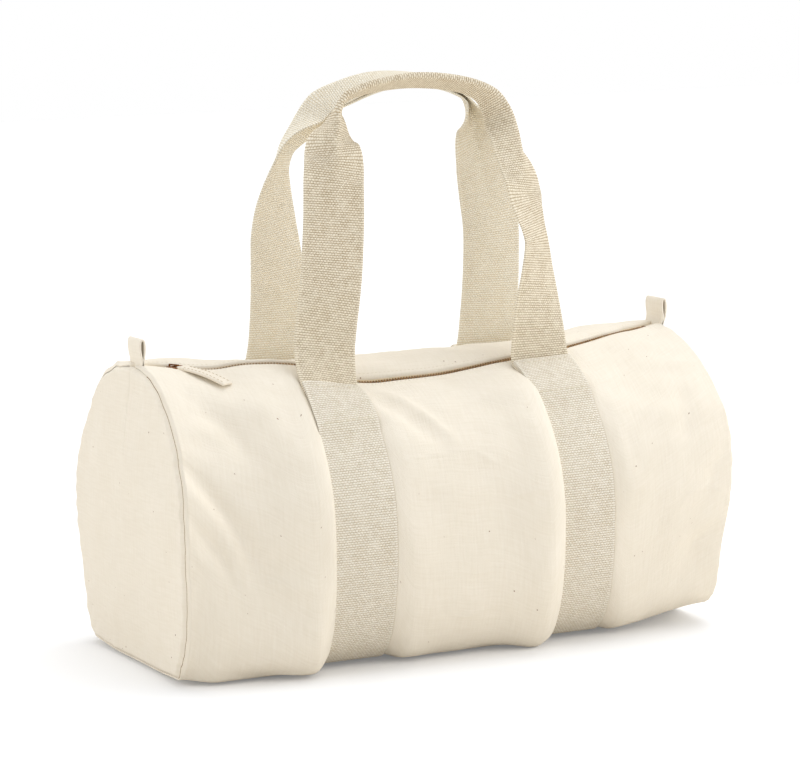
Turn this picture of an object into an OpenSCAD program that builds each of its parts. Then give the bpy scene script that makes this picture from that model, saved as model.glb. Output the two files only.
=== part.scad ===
/* [Body] */
// Length of the bag from one end seam to the other
bag_length = 450; // [300:5:650]
// Width of the bag at its end seams
bag_width = 250; // [180:2:340]
// Height of the bag at its end seams
bag_height = 230; // [170:2:300]
// Width of the part of the base that lies flat
base_width = 172; // [100:2:172]
// Height above the base at which the bag is widest
widest_height = 108; // [70:1:125]
// How much further each side swells halfway along
side_swell = 4; // [0:1:12]
// How far each end panel domes outward
end_dome = 9; // [2:1:20]
// Thickness of the canvas
canvas = 1.2; // [0.6:0.1:2]
// Width of the seam allowance turned in around each end
seam_allowance = 10; // [6:1:14]

/* [Zip] */
// How far the zip bows toward the front halfway along
zip_bow = 45; // [10:1:60]
// How far the zip sags halfway along
zip_sag = 16; // [4:1:24]
// Opening between the two canvas edges beside the zip
zip_opening = 10.8; // [10.4:0.2:14]
// Width of each zip tape
tape_width = 14; // [10:1:18]
// Thickness of the zip tape
tape_thickness = 0.6; // [0.4:0.1:0.7]
// Distance from the middle of the chain to the edge of each tape
tape_edge = 2; // [1.6:0.1:2.2]
// Distance from one tooth to the next on one tape
tooth_pitch = 2.3; // [2.2:0.1:4]
// Length of a tooth along the tape
tooth_length = 1.1; // [0.8:0.05:1.2]
// Width of the closed chain over both rows of teeth
chain_width = 6; // [5.4:0.1:6.2]
// Thickness of the teeth
chain_thickness = 2.4; // [2:0.1:2.5]
// Distance from the left end of the tape to the middle of the closed slider
slider_inset = 16; // [14:1:40]
// Length of the slider
slider_length = 11; // [10:0.5:16]
// Width of the slider across its mouth
slider_width = 9.4; // [9:0.1:9.8]
// Thickness of each plate of the slider
slider_plate = 0.8; // [0.6:0.1:1.2]
// Radius of the wire of the pull ring
ring_wire = 0.6; // [0.5:0.05:0.7]
// Length of the pull ring between the middles of its two cross bars
ring_length = 8; // [7:0.5:14]
// Direction in which the pull lies, turned from the zip toward the front
pull_turn = 40; // [20:1:60]
// Width of the cotton pull tab
pull_width = 11; // [8:0.5:14]
// Length of the cotton pull tab
pull_length = 46; // [25:1:60]
// Thickness of the folded pull tab
pull_thickness = 2.4; // [2.2:0.1:2.6]

/* [Webbing] */
// Width of the webbing
webbing_width = 50; // [30:1:60]
// Thickness of the webbing
webbing = 1.8; // [1.2:0.1:2.4]
// Distance between the middles of the two wrap straps
strap_spacing = 184; // [120:2:240]
// Distance of each strap's folded top edge from the middle plane of the bag
fold_distance = 56; // [53:1:70]
// Length of the folded and sewn end of a strap
fold_length = 42; // [25:1:60]
// Height of the handles above their hinge line
handle_height = 222; // [150:2:300]
// Distance between the handle legs at the neck of the grip
neck_spacing = 142; // [100:2:184]
// Height of the curve from the neck to the top of the grip
grip_rise = 58; // [30:1:90]
// Distance between the outer folds of the two grips
grip_depth = 54; // [52:1:90]
// Largest angle that a handle folds outward
handle_fold = 118; // [60:1:118]

/* [Loop tabs] */
// Width of the loop tabs across the zip
loop_width = 28; // [20:1:40]
// Height that the loop tabs stand above the seam
loop_height = 21; // [12:1:40]
// Thickness of the folded canvas of a loop tab
loop_thickness = 1.6; // [1:0.1:2.4]
// Widest opening inside a loop tab
loop_opening = 6; // [5.6:0.2:9]

/* [Hidden] */

canvas_colour = [0.95, 0.92, 0.85];
webbing_colour = [0.87, 0.83, 0.74];
tape_colour = [0.90, 0.86, 0.76];
brass_colour = [0.50, 0.38, 0.24];

// Gap between sewn layers of cloth, and running gap beside metal
layer_gap = 0.2;
// Gap between the turning end of a handle and the sewn end below it
turning_gap = 0.65;
// Overrun of every cut
over = 0.5;
fine = 48;
small = 24;

// The bag stands on the two wrap straps, so its own base is this high
base_z = webbing + 2 * layer_gap;

// The zip runs on a level-ended arc in a plane that leans toward the front
zip_lean = atan(zip_sag / zip_bow);
arc_rise = sqrt(zip_bow * zip_bow + zip_sag * zip_sag);
arc_radius = (bag_length * bag_length / 4 + arc_rise * arc_rise) / (2 * arc_rise);
arc_back = arc_radius - arc_rise;
arc_centre = [0, arc_back * cos(zip_lean), base_z + bag_height + arc_back * sin(zip_lean)];

function arc_reach(x) = sqrt(arc_radius * arc_radius - x * x) - arc_back;
function zip_y(x) = -cos(zip_lean) * arc_reach(x);
function zip_height(x) = bag_height - sin(zip_lean) * arc_reach(x);
function arc_angle(x) = asin(x / arc_radius);

// Half of the bag's width, and the height of its crown above the widest line, at one place along it
function middle_share(x) = 1 - pow(2 * x / bag_length, 2);
function half_width(x) = bag_width / 2 + side_swell * middle_share(x);
function crown(x) = (zip_height(x) - widest_height) / sqrt(1 - pow(zip_y(x) / half_width(x), 2));

// Places round the bag go from 0 at the top over the rear, 3 under the base, to 6 at the top again:
// one unit each for the crown's quarter, the side's lower quarter and half of the flat base
function place_at(x, y) = asin(y / half_width(x)) / 90;
function fold_over(place) = place > 3 ? place - 6 : place;
function side_of(place) = fold_over(place) < 0 ? -1 : 1;
function rear_wall(x, m) =
  let (a = half_width(x), c = crown(x), w = widest_height, b = base_width / 2)
  m <= 1
    ? [a * sin(90 * m), w + c * cos(90 * m), c * sin(90 * m), a * cos(90 * m)]
    : m <= 2
      ? [b + (a - b) * cos(90 * (m - 1)), w - w * sin(90 * (m - 1)),
         w * cos(90 * (m - 1)), -(a - b) * sin(90 * (m - 1))]
      : [b * (3 - m), 0, 0, -1];
// Point of the bag's outer face at a place round it, moved outward
function wall(x, place, out) =
  let (
    side = side_of(place),
    p = rear_wall(x, abs(fold_over(place))),
    n = [p[2], p[3]] / norm([p[2], p[3]])
  )
  [x, side * (p[0] + out * n[0]), base_z + p[1] + out * n[1]];
// Lean of the bag's face at the zip
function face_lean(x) =
  let (t = asin(-zip_y(x) / half_width(x)))
  atan2(crown(x) * sin(t), half_width(x) * cos(t));

function steps(from, to, n) = [for (i = [0 : n]) from + (to - from) * i / n];
function joined(lists) = [for (l = lists, v = l) v];
function without_last(list) = [for (i = [0 : len(list) - 2]) list[i]];

// Closed solid between two faces, each a grid of points
module slab(outer, inner) {
  n = len(outer);
  m = len(outer[0]);
  k = n * m;
  function at(i, j) = i * m + j;
  sheet = [for (i = [0 : n - 2], j = [0 : m - 2]) [at(i, j), at(i, j + 1), at(i + 1, j + 1), at(i + 1, j)]];
  under = [for (q = sheet) [q[0] + k, q[3] + k, q[2] + k, q[1] + k]];
  ends = [for (j = [0 : m - 2]) each [
    [at(0, j), at(0, j) + k, at(0, j + 1) + k, at(0, j + 1)],
    [at(n - 1, j), at(n - 1, j + 1), at(n - 1, j + 1) + k, at(n - 1, j) + k]
  ]];
  edges = [for (i = [0 : n - 2]) each [
    [at(i, 0), at(i + 1, 0), at(i + 1, 0) + k, at(i, 0) + k],
    [at(i, m - 1), at(i, m - 1) + k, at(i + 1, m - 1) + k, at(i + 1, m - 1)]
  ]];
  triangles = [for (q = concat(sheet, under, ends, edges)) each [[q[0], q[1], q[2]], [q[0], q[2], q[3]]]];
  polyhedron(points = concat(joined(outer), joined(inner)), faces = triangles, convexity = 6);
}

// Closed solid through rings of points, capped at both ends or joined round
module tube(rings, round = false) {
  n = len(rings);
  m = len(rings[0]);
  function at(i, j) = (i % n) * m + j % m;
  skin = [for (i = [0 : n - (round ? 1 : 2)], j = [0 : m - 1]) each [
    [at(i, j), at(i, j + 1), at(i + 1, j + 1)],
    [at(i, j), at(i + 1, j + 1), at(i + 1, j)]
  ]];
  caps = round ? [] : [
    [for (j = [m - 1 : -1 : 0]) at(0, j)],
    [for (j = [0 : m - 1]) at(n - 1, j)]
  ];
  polyhedron(points = joined(rings), faces = concat(skin, caps), convexity = 8);
}

// Body: one canvas sheet from the rear edge of the zip under the base to its front edge
body_steps = 18;
crown_steps = 18;
side_steps = 8;
base_steps = 4;
function round_places(first, last) = concat(
  without_last(steps(first, 1, crown_steps)),
  without_last(steps(1, 2, side_steps)),
  without_last(steps(2, 4, base_steps)),
  without_last(steps(4, 5, side_steps)),
  steps(5, last, crown_steps)
);
function zip_edges(x) =
  let (half = zip_opening / 2 * cos(face_lean(x)))
  [place_at(x, zip_y(x) + half), 6 + place_at(x, zip_y(x) - half)];
function body_rows(out) = [
  for (x = steps(-bag_length / 2, bag_length / 2, body_steps))
    let (e = zip_edges(x)) [for (p = round_places(e[0], e[1])) wall(x, p, out)]
];
module body_panel() {
  color(canvas_colour) slab(body_rows(0), body_rows(-canvas));
}

// End panels: domed canvas with its seam allowance turned in along the body
panel_rings = 6;
rim_in = canvas + layer_gap;
function rim(x, in) = [
  for (p = without_last(round_places(0, 6))) wall(x, p, -in)
];
rim_middle = [0, base_z + bag_height / 2];
function dome_ring(share, thick) =
  let (half = bag_length / 2)
  [for (p = rim(half, rim_in)) [
    half - thick + end_dome * (1 - share * share),
    rim_middle[0] + (p[1] - rim_middle[0]) * share,
    rim_middle[1] + (p[2] - rim_middle[1]) * share
  ]];
dome_shares = [for (i = [1 : panel_rings]) i / panel_rings];
module end_panel() {
  half = bag_length / 2;
  outside = [for (s = dome_shares) dome_ring(s, 0)];
  inside = [for (i = [panel_rings - 1 : -1 : 0])
    i == panel_rings - 1
      ? [for (p = rim(half, rim_in + canvas)) [half - canvas, p[1], p[2]]]
      : dome_ring(dome_shares[i], canvas)];
  flange = [rim(half - seam_allowance, rim_in), rim(half - seam_allowance, rim_in + canvas)];
  tube(concat(outside, flange, inside));
}
module end_panel_left() {
  color(canvas_colour) mirror([1, 0, 0]) end_panel();
}
module end_panel_right() {
  color(canvas_colour) end_panel();
}

// Seam bindings: tape folded round the raw edge of each turned-in allowance
binding_share = 0.6;
module seam_binding() {
  edge = bag_length / 2 - seam_allowance;
  cover = seam_allowance * binding_share;
  low = rim_in + canvas + layer_gap;
  tube([
    rim(edge - layer_gap, rim_in),
    rim(edge - layer_gap, low),
    rim(edge + cover, low),
    rim(edge + cover, low + tape_thickness),
    rim(edge - layer_gap - tape_thickness, low + tape_thickness),
    rim(edge - layer_gap - tape_thickness, rim_in)
  ], round = true);
}
module seam_binding_left() {
  color(tape_colour) mirror([1, 0, 0]) seam_binding();
}
module seam_binding_right() {
  color(tape_colour) seam_binding();
}

// Zip: everything on it is placed at an angle along the arc, leaning with the bag's face
tape_depth = canvas + 2 * layer_gap + tape_thickness / 2;
tape_end = bag_length / 2 - seam_allowance - tape_thickness - 2 * layer_gap;
tape_steps = 40;
module on_zip(angle, lean) {
  translate(arc_centre)
    rotate([zip_lean, 0, 0])
      rotate([0, 0, angle])
        translate([0, -arc_radius, 0])
          rotate([lean - zip_lean, 0, 0])
            translate([0, 0, -tape_depth])
              children();
}
function tape_rows(side, level) = [
  for (x = steps(-tape_end, tape_end, tape_steps))
    [for (across = side > 0 ? [tape_edge, tape_width / 2, tape_width] : [-tape_width, -tape_width / 2, -tape_edge])
      wall(x, place_at(x, zip_y(x) + across * cos(face_lean(x))), level - tape_depth)]
];
module zip_tape(side) {
  color(tape_colour) slab(tape_rows(side, tape_thickness / 2), tape_rows(side, -tape_thickness / 2));
}
module zip_tape_front() {
  zip_tape(-1);
}
module zip_tape_rear() {
  zip_tape(1);
}

slider_x = slider_inset - tape_end;
slider_angle = arc_angle(slider_x);
slider_lean = face_lean(slider_x);
teeth_start_x = slider_x - slider_length / 8;
teeth_end_x = tape_end - 2 * tooth_pitch;
pitch_angle = tooth_pitch / arc_radius * 180 / PI;
teeth_start = arc_angle(teeth_start_x);
tooth_count = floor((arc_angle(teeth_end_x) - teeth_start) / pitch_angle);

// One tooth: two legs that clamp the tape's edge and a head that reaches between two others
head_reach_share = 0.18;
head_length_share = 0.82;
root_share = 0.3;
clamp_gap = 0.3;
module tooth() {
  half = chain_width / 2;
  head = tooth_length * head_length_share / 2;
  body = tooth_length / 2;
  difference() {
    linear_extrude(height = chain_thickness, center = true)
      polygon([
        [-body, half], [-body, half * root_share], [-head, 0], [-head / 2, -half * head_reach_share],
        [head / 2, -half * head_reach_share], [head, 0], [body, half * root_share], [body, half]
      ]);
    translate([-body - over, tape_edge - clamp_gap, -tape_thickness / 2 - clamp_gap])
      cube([tooth_length + 2 * over, half, tape_thickness + 2 * clamp_gap]);
  }
}
module teeth(side) {
  shift = side > 0 ? 0 : 0.5;
  color(brass_colour)
    for (i = [0 : tooth_count - 1]) {
      angle = teeth_start + (i + shift) * pitch_angle;
      on_zip(angle, face_lean(arc_radius * sin(angle)))
        mirror([0, side > 0 ? 0 : 1, 0]) tooth();
    }
}
module zip_teeth_front() {
  teeth(-1);
}
module zip_teeth_rear() {
  teeth(1);
}

// Stops: clamped bars that end the slider's run
stop_length = 3;
module stop(side) {
  difference() {
    translate([-stop_length / 2, side > 0 ? tape_edge / 2 : -chain_width / 2, -chain_thickness / 2])
      cube([stop_length, chain_width / 2 - tape_edge / 2, chain_thickness]);
    translate([-stop_length, side > 0 ? tape_edge - clamp_gap : -chain_width, -tape_thickness / 2 - clamp_gap])
      cube([2 * stop_length, chain_width - tape_edge + clamp_gap, tape_thickness + 2 * clamp_gap]);
  }
}
top_stop_x = slider_x - slider_length / 2 - stop_length / 2 - layer_gap;
bottom_stop_x = tape_end - tooth_pitch - layer_gap;
module zip_top_stops() {
  color(brass_colour)
    for (side = [-1, 1])
      on_zip(arc_angle(top_stop_x), face_lean(top_stop_x)) stop(side);
}
module zip_bottom_stop() {
  bar = tooth_pitch;
  color(brass_colour)
    on_zip(arc_angle(bottom_stop_x), face_lean(bottom_stop_x))
      difference() {
        translate([-bar / 2, -chain_width / 2, -chain_thickness / 2])
          cube([bar, chain_width, chain_thickness]);
        for (side = [0, 1])
          mirror([0, side, 0])
            translate([-bar, tape_edge - clamp_gap, -tape_thickness / 2 - clamp_gap])
              cube([2 * bar, chain_width, tape_thickness + 2 * clamp_gap]);
      }
}

// Slider: two plates joined by the divider, side flanges that hold the chain, and a crown for the ring
channel_gap = 0.3;
plate_low = chain_thickness / 2 + channel_gap;
plate_top = plate_low + slider_plate;
flange_thickness = 0.7;
flange_low = tape_thickness / 2 + channel_gap;
divider_width = 2 * tape_edge - 4 * channel_gap;
divider_length_share = 0.3;
tail_share = 0.84;
crown_window = 2 * (ring_wire + channel_gap);
crown_bar = 0.9;
crown_thickness = 1.7;
crown_length_share = 0.72;
crown_post_share = 0.14;
module slider_outline() {
  front = slider_length / 2;
  mouth = slider_width / 2;
  tail = mouth * tail_share;
  polygon([
    [-front, -mouth * tail_share], [-front / 2, -mouth], [front, -tail],
    [front, tail], [-front / 2, mouth], [-front, mouth * tail_share]
  ]);
}
module slider_solid() {
  for (z = [plate_low, -plate_top])
    translate([0, 0, z]) linear_extrude(height = slider_plate) slider_outline();
  translate([-slider_length / 2, -divider_width / 2, -plate_top])
    cube([slider_length * divider_length_share, divider_width, 2 * plate_top]);
  for (z = [flange_low, -plate_top])
    translate([0, 0, z])
      linear_extrude(height = plate_top - flange_low)
        difference() {
          slider_outline();
          translate([-slider_length, -chain_width / 2 - channel_gap])
            square([2 * slider_length, chain_width + 2 * channel_gap]);
        }
  crown_of_slider();
}
module crown_of_slider() {
  length = slider_length * crown_length_share;
  post = slider_length * crown_post_share;
  translate([0, crown_thickness / 2, plate_top])
    rotate([90, 0, 0])
      linear_extrude(height = crown_thickness)
        difference() {
          translate([-length / 2, -slider_plate / 2])
            square([length, crown_window + crown_bar + slider_plate / 2]);
          translate([-length / 2 + post, 0])
            square([length - 2 * post, crown_window]);
        }
}
module zip_slider() {
  color(brass_colour) on_zip(slider_angle, slider_lean) slider_solid();
}

// Pull ring: a wire frame whose inner bar runs under the slider's crown
ring_half = pull_width / 2 + ring_wire + 2 * layer_gap;
ring_pivot_z = plate_top + crown_window / 2;
ring_bend = 2 * ring_wire;
ring_lift = 4;
module at_ring() {
  on_zip(slider_angle, slider_lean)
    translate([0, 0, ring_pivot_z])
      rotate([0, 0, -pull_turn])
        rotate([0, -ring_lift, 0])
          children();
}
module ring_corner() {
  rotate_extrude(angle = 90, $fn = small) translate([ring_bend, 0]) circle(r = ring_wire, $fn = small);
}
module ring_bar(length) {
  rotate([-90, 0, 0])
    translate([0, 0, -length / 2])
      cylinder(r = ring_wire, h = length, $fn = small);
}
module zip_pull_ring() {
  color(brass_colour)
    at_ring()
      translate([ring_length / 2, 0, 0])
        for (turn = [0, 180])
          rotate([0, 0, turn]) {
            translate([ring_length / 2, 0, 0]) ring_bar(2 * (ring_half - ring_bend));
            translate([0, ring_half, 0]) rotate([0, 0, 90]) ring_bar(ring_length - 2 * ring_bend);
            for (side = [0, 1])
              mirror([0, side, 0])
                translate([ring_length / 2 - ring_bend, ring_half - ring_bend, 0]) ring_corner();
          }
}

// Pull tab: cotton folded round the ring's outer bar and sewn flat
pull_drop = 2 * ring_lift;
eye_radius = pull_thickness / 2 + layer_gap;
module zip_pull_tab() {
  color(canvas_colour)
    at_ring()
      translate([ring_length, 0, 0])
        rotate([0, pull_drop, 0])
          difference() {
            union() {
              translate([0, -pull_width / 2, 0])
                rotate([-90, 0, 0]) cylinder(r = eye_radius, h = pull_width, $fn = small);
              translate([0, -pull_width / 2, -pull_thickness / 2])
                cube([pull_length, pull_width, pull_thickness]);
            }
            translate([0, -pull_width / 2 - over, 0])
              rotate([-90, 0, 0])
                cylinder(r = ring_wire + layer_gap / 2, h = pull_width + 2 * over, $fn = small);
          }
}

// Loop tabs: a folded canvas strip whose foot is caught in the end seam
loop_foot = loop_thickness;
loop_waist_share = 0.62;
module loop_outline(grow) {
  rise = loop_height - loop_thickness - loop_opening / 2;
  hull() {
    translate([0, rise]) circle(r = loop_opening / 4 + grow, $fn = fine);
    translate([0, rise * loop_waist_share]) circle(r = loop_opening / 2 + grow, $fn = fine);
    translate([0, loop_foot + loop_thickness]) circle(r = loop_thickness / 8 + grow, $fn = fine);
  }
}
loop_x = bag_length / 2 - loop_foot - layer_gap;
loop_z = wall(loop_x, 0, loop_foot + layer_gap)[2];
module loop_tab() {
  translate([loop_x, loop_width / 2, loop_z])
    rotate([90, 0, 0])
      linear_extrude(height = loop_width)
        difference() {
          union() {
            circle(r = loop_foot, $fn = fine);
            translate([-loop_foot, 0]) square([2 * loop_foot, loop_foot + loop_thickness]);
            loop_outline(loop_thickness);
          }
          loop_outline(0);
        }
}
module loop_tab_left() {
  color(canvas_colour) mirror([1, 0, 0]) loop_tab();
}
module loop_tab_right() {
  color(canvas_colour) loop_tab();
}

// Wrap straps: webbing from the front fold, under the base, to the rear fold, doubled at both ends
strap_across_steps = 4;
strap_crown_steps = 11;
fold_steps = 3;
strap_ramp_share = 0.3;
double_low = webbing + 2 * layer_gap;
double_top = double_low + 2 * webbing;
function arc_place(x, y, along) = place_at(x, y) + along / (half_width(x) * PI / 2);
function strap_lift(x, place, first) =
  let (
    gone = min(place - first, 6 - first - place) * half_width(x) * PI / 2,
    ramp = fold_length * strap_ramp_share
  )
  1 - min(1, max(0, (gone - fold_length) / ramp));
function strap_row(x, top) =
  let (first = place_at(x, fold_distance), last = 6 - first, ramp = fold_length * (1 + strap_ramp_share))
  [for (p = concat(
      without_last(steps(first, arc_place(x, fold_distance, fold_length), fold_steps)),
      without_last(steps(arc_place(x, fold_distance, fold_length), arc_place(x, fold_distance, ramp), 1)),
      without_last(steps(arc_place(x, fold_distance, ramp), 1, strap_crown_steps)),
      without_last(steps(1, 2, side_steps)),
      without_last(steps(2, 4, base_steps)),
      without_last(steps(4, 5, side_steps)),
      without_last(steps(5, 6 - arc_place(x, fold_distance, ramp), strap_crown_steps)),
      without_last(steps(6 - arc_place(x, fold_distance, ramp), 6 - arc_place(x, fold_distance, fold_length), 1)),
      steps(6 - arc_place(x, fold_distance, fold_length), last, fold_steps)
    ))
    let (up = strap_lift(x, p, first))
    wall(x, p, top
      ? webbing + layer_gap + up * (double_top - webbing - layer_gap)
      : layer_gap + up * (double_low - layer_gap))];
function strap_rows(middle, top) = [
  for (x = steps(middle - webbing_width / 2, middle + webbing_width / 2, strap_across_steps))
    strap_row(x, top)
];
module wrap_strap(middle) {
  color(webbing_colour) slab(strap_rows(middle, true), strap_rows(middle, false));
}
module wrap_strap_left() {
  wrap_strap(-strap_spacing / 2);
}
module wrap_strap_right() {
  wrap_strap(strap_spacing / 2);
}

// Handles: each turns about a straight line just above the folded strap ends
hinge_clear = 9;
hinge_y = fold_distance - 2 * webbing + layer_gap * 8;
hinge_x = strap_spacing / 2;
hinge_z = wall(hinge_x, place_at(hinge_x, hinge_y), 0)[2] + hinge_clear;
handle_lean = atan((hinge_y - grip_depth / 2) / handle_height);

// Middle line of a handle in its own plane, from the left hinge to the right one
leg_steps = 6;
neck_steps = 14;
neck_height = handle_height - grip_rise;
neck_power_share = 0.78;
function leg_x(v) =
  let (s = v / neck_height, ease = s * s * (3 - 2 * s))
  hinge_x - (hinge_x - neck_spacing / 2) * ease;
function grip_point(t) = [
  neck_spacing / 2 * pow(cos(t), neck_power_share),
  neck_height + grip_rise * pow(sin(t), neck_power_share)
];
half_path = concat(
  without_last([for (v = steps(0, neck_height, leg_steps)) [leg_x(v), v]]),
  [for (t = steps(0, 90, neck_steps)) grip_point(t)]
);
path = concat(
  [for (p = half_path) [-p[0], p[1]]],
  [for (i = [len(half_path) - 2 : -1 : 0]) half_path[i]]
);
// Share of the fold at a height: flat on the legs, doubled lengthwise on the grip
fold_start_share = 0.78;
fold_end_share = 0.93;
function fold_share(v) =
  let (s = (v / handle_height - fold_start_share) / (fold_end_share - fold_start_share), c = min(1, max(0, s)))
  c * c * (3 - 2 * c);
crease_radius = webbing;
crease_arc = PI * crease_radius;
crease_steps = 4;
// Middle line of the webbing's section, by the distance along it from the crease
function section_point(d, share) =
  let (
    turn = 180 * share,
    inside = min(abs(d), crease_arc / 2),
    rest = abs(d) - inside,
    a = turn * inside / crease_arc,
    r = turn > 0.01 ? crease_arc * 180 / (turn * PI) : 0,
    across = turn > 0.01 ? r * sin(a) : inside,
    back = turn > 0.01 ? r * (1 - cos(a)) : 0
  )
  [sign(d) * (across + rest * cos(a)), back + rest * sin(a), sign(d) * a];
section_marks = concat(
  [-webbing_width / 2],
  steps(-crease_arc / 2, crease_arc / 2, crease_steps),
  [webbing_width / 2]
);
function handle_row(i, out) =
  let (
    n = len(path),
    d = path[min(i + 1, n - 1)] - path[max(i - 1, 0)],
    along = i == 0 || i == n - 1 ? [0, i == 0 ? 1 : -1] : d / norm(d),
    across = [along[1], -along[0]],
    share = fold_share(path[i][1])
  )
  [for (mark = section_marks)
    let (p = section_point(mark, share), s = [p[0] + out * sin(p[2]), p[1] - out * cos(p[2])])
    [path[i][0] + across[0] * s[0], s[1], path[i][1] + across[1] * s[0]]];
// The lower end of each leg is rounded about its hinge line
end_angles = [80, 55, 28];
function end_row(i, out, angle) = [
  for (p = handle_row(i, out * cos(angle))) [p[0], p[1], -webbing / 2 * sin(angle)]
];
function handle_rows(out) = concat(
  [for (a = end_angles) end_row(0, out, a)],
  [for (i = [0 : len(path) - 1]) handle_row(i, out)],
  [for (i = [len(end_angles) - 1 : -1 : 0]) end_row(len(path) - 1, out, end_angles[i])]
);
module handle() {
  color(webbing_colour)
    translate([0, -hinge_y, hinge_z])
      rotate([-handle_lean, 0, 0])
        slab(handle_rows(-webbing / 2), handle_rows(webbing / 2));
}
module handle_front() {
  handle();
}
module handle_rear() {
  mirror([0, 1, 0]) handle();
}

// Handle tails: the ends of each handle, sewn between the straps' folded ends and the body
tail_steps = 3;
function tail_row(x, out) =
  let (
    start = place_at(x, fold_distance),
    half = out ? webbing / 2 : -webbing / 2,
    level = layer_gap + (out ? webbing : 0),
    low = wall(x, place_at(x, hinge_y + half), 0)
  )
  concat(
    [[x, hinge_y + half, hinge_z - webbing / 2 - turning_gap]],
    [[x, hinge_y + half, low[2] + (out ? double_top : webbing + layer_gap)]],
    [for (p = steps(start, arc_place(x, fold_distance, fold_length), tail_steps)) wall(x, p, level)]
  );
module handle_tails(side) {
  color(webbing_colour)
    mirror([0, side > 0 ? 0 : 1, 0])
      for (middle = [-hinge_x, hinge_x]) {
        xs = steps(middle - webbing_width / 2, middle + webbing_width / 2, strap_across_steps);
        slab([for (x = xs) tail_row(x, true)], [for (x = xs) tail_row(x, false)]);
      }
}
module handle_front_tails() {
  handle_tails(-1);
}
module handle_rear_tails() {
  handle_tails(1);
}

body_panel();
end_panel_left();
end_panel_right();
seam_binding_left();
seam_binding_right();
zip_tape_front();
zip_tape_rear();
zip_teeth_front();
zip_teeth_rear();
zip_top_stops();
zip_bottom_stop();
zip_slider();
zip_pull_ring();
zip_pull_tab();
loop_tab_left();
loop_tab_right();
wrap_strap_left();
wrap_strap_right();
handle_front();
handle_rear();
handle_front_tails();
handle_rear_tails();
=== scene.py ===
import bmesh
import bpy
import math
import numpy as np
from mathutils import Matrix, Vector


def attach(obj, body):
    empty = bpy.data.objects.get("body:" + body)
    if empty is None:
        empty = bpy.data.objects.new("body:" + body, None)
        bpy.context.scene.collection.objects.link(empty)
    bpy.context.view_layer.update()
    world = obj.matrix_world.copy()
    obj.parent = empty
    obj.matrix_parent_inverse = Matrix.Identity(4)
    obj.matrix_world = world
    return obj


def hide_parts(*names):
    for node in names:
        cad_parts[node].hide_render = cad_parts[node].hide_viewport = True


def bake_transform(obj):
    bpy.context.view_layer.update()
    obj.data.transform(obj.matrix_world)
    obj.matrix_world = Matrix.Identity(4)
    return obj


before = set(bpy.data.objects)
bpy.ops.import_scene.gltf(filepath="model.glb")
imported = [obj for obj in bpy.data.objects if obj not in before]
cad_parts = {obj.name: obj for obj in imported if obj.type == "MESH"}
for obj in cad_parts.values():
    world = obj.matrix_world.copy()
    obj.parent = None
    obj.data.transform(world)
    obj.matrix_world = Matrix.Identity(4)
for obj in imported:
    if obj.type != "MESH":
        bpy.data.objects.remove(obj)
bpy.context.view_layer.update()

# Standpoint
# The bag is seen through a long lens from the left of its front and a little above its middle, and the
# picture is turned by under two degrees.
mm = 0.001
view_turn, view_rise, view_roll = math.radians(-23.44), math.radians(7.98), math.radians(1.71)
view_reach = 2358 * mm
looked_at = Vector((-5.5, 1.0, 192.7)) * mm
back = Vector((math.sin(view_turn) * math.cos(view_rise), -math.cos(view_turn) * math.cos(view_rise),
               math.sin(view_rise)))
across = Vector((0, 0, 1)).cross(back).normalized()
upward = back.cross(across)
across, upward = (across * math.cos(view_roll) - upward * math.sin(view_roll),
                  across * math.sin(view_roll) + upward * math.cos(view_roll))
lens = bpy.data.cameras.new("standpoint")
lens.lens, lens.sensor_width, lens.sensor_fit = 133.8, 36, "HORIZONTAL"
lens.clip_start, lens.clip_end = 0.1, 60
camera = bpy.data.objects.new("standpoint", lens)
bpy.context.scene.collection.objects.link(camera)
camera.matrix_world = Matrix.Translation(looked_at + back * view_reach) @ Matrix(
    (across, upward, back)).transposed().to_4x4()
bpy.context.scene.camera = camera
bpy.context.scene.view_settings.view_transform = "Standard"

# Floor and lights
# A wide white sheet that the bag stands on, under a white sky with three broad soft lamps and a smaller
# one near the front, as in a small studio. Together they show a cloth's colour about as it is written.


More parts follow.
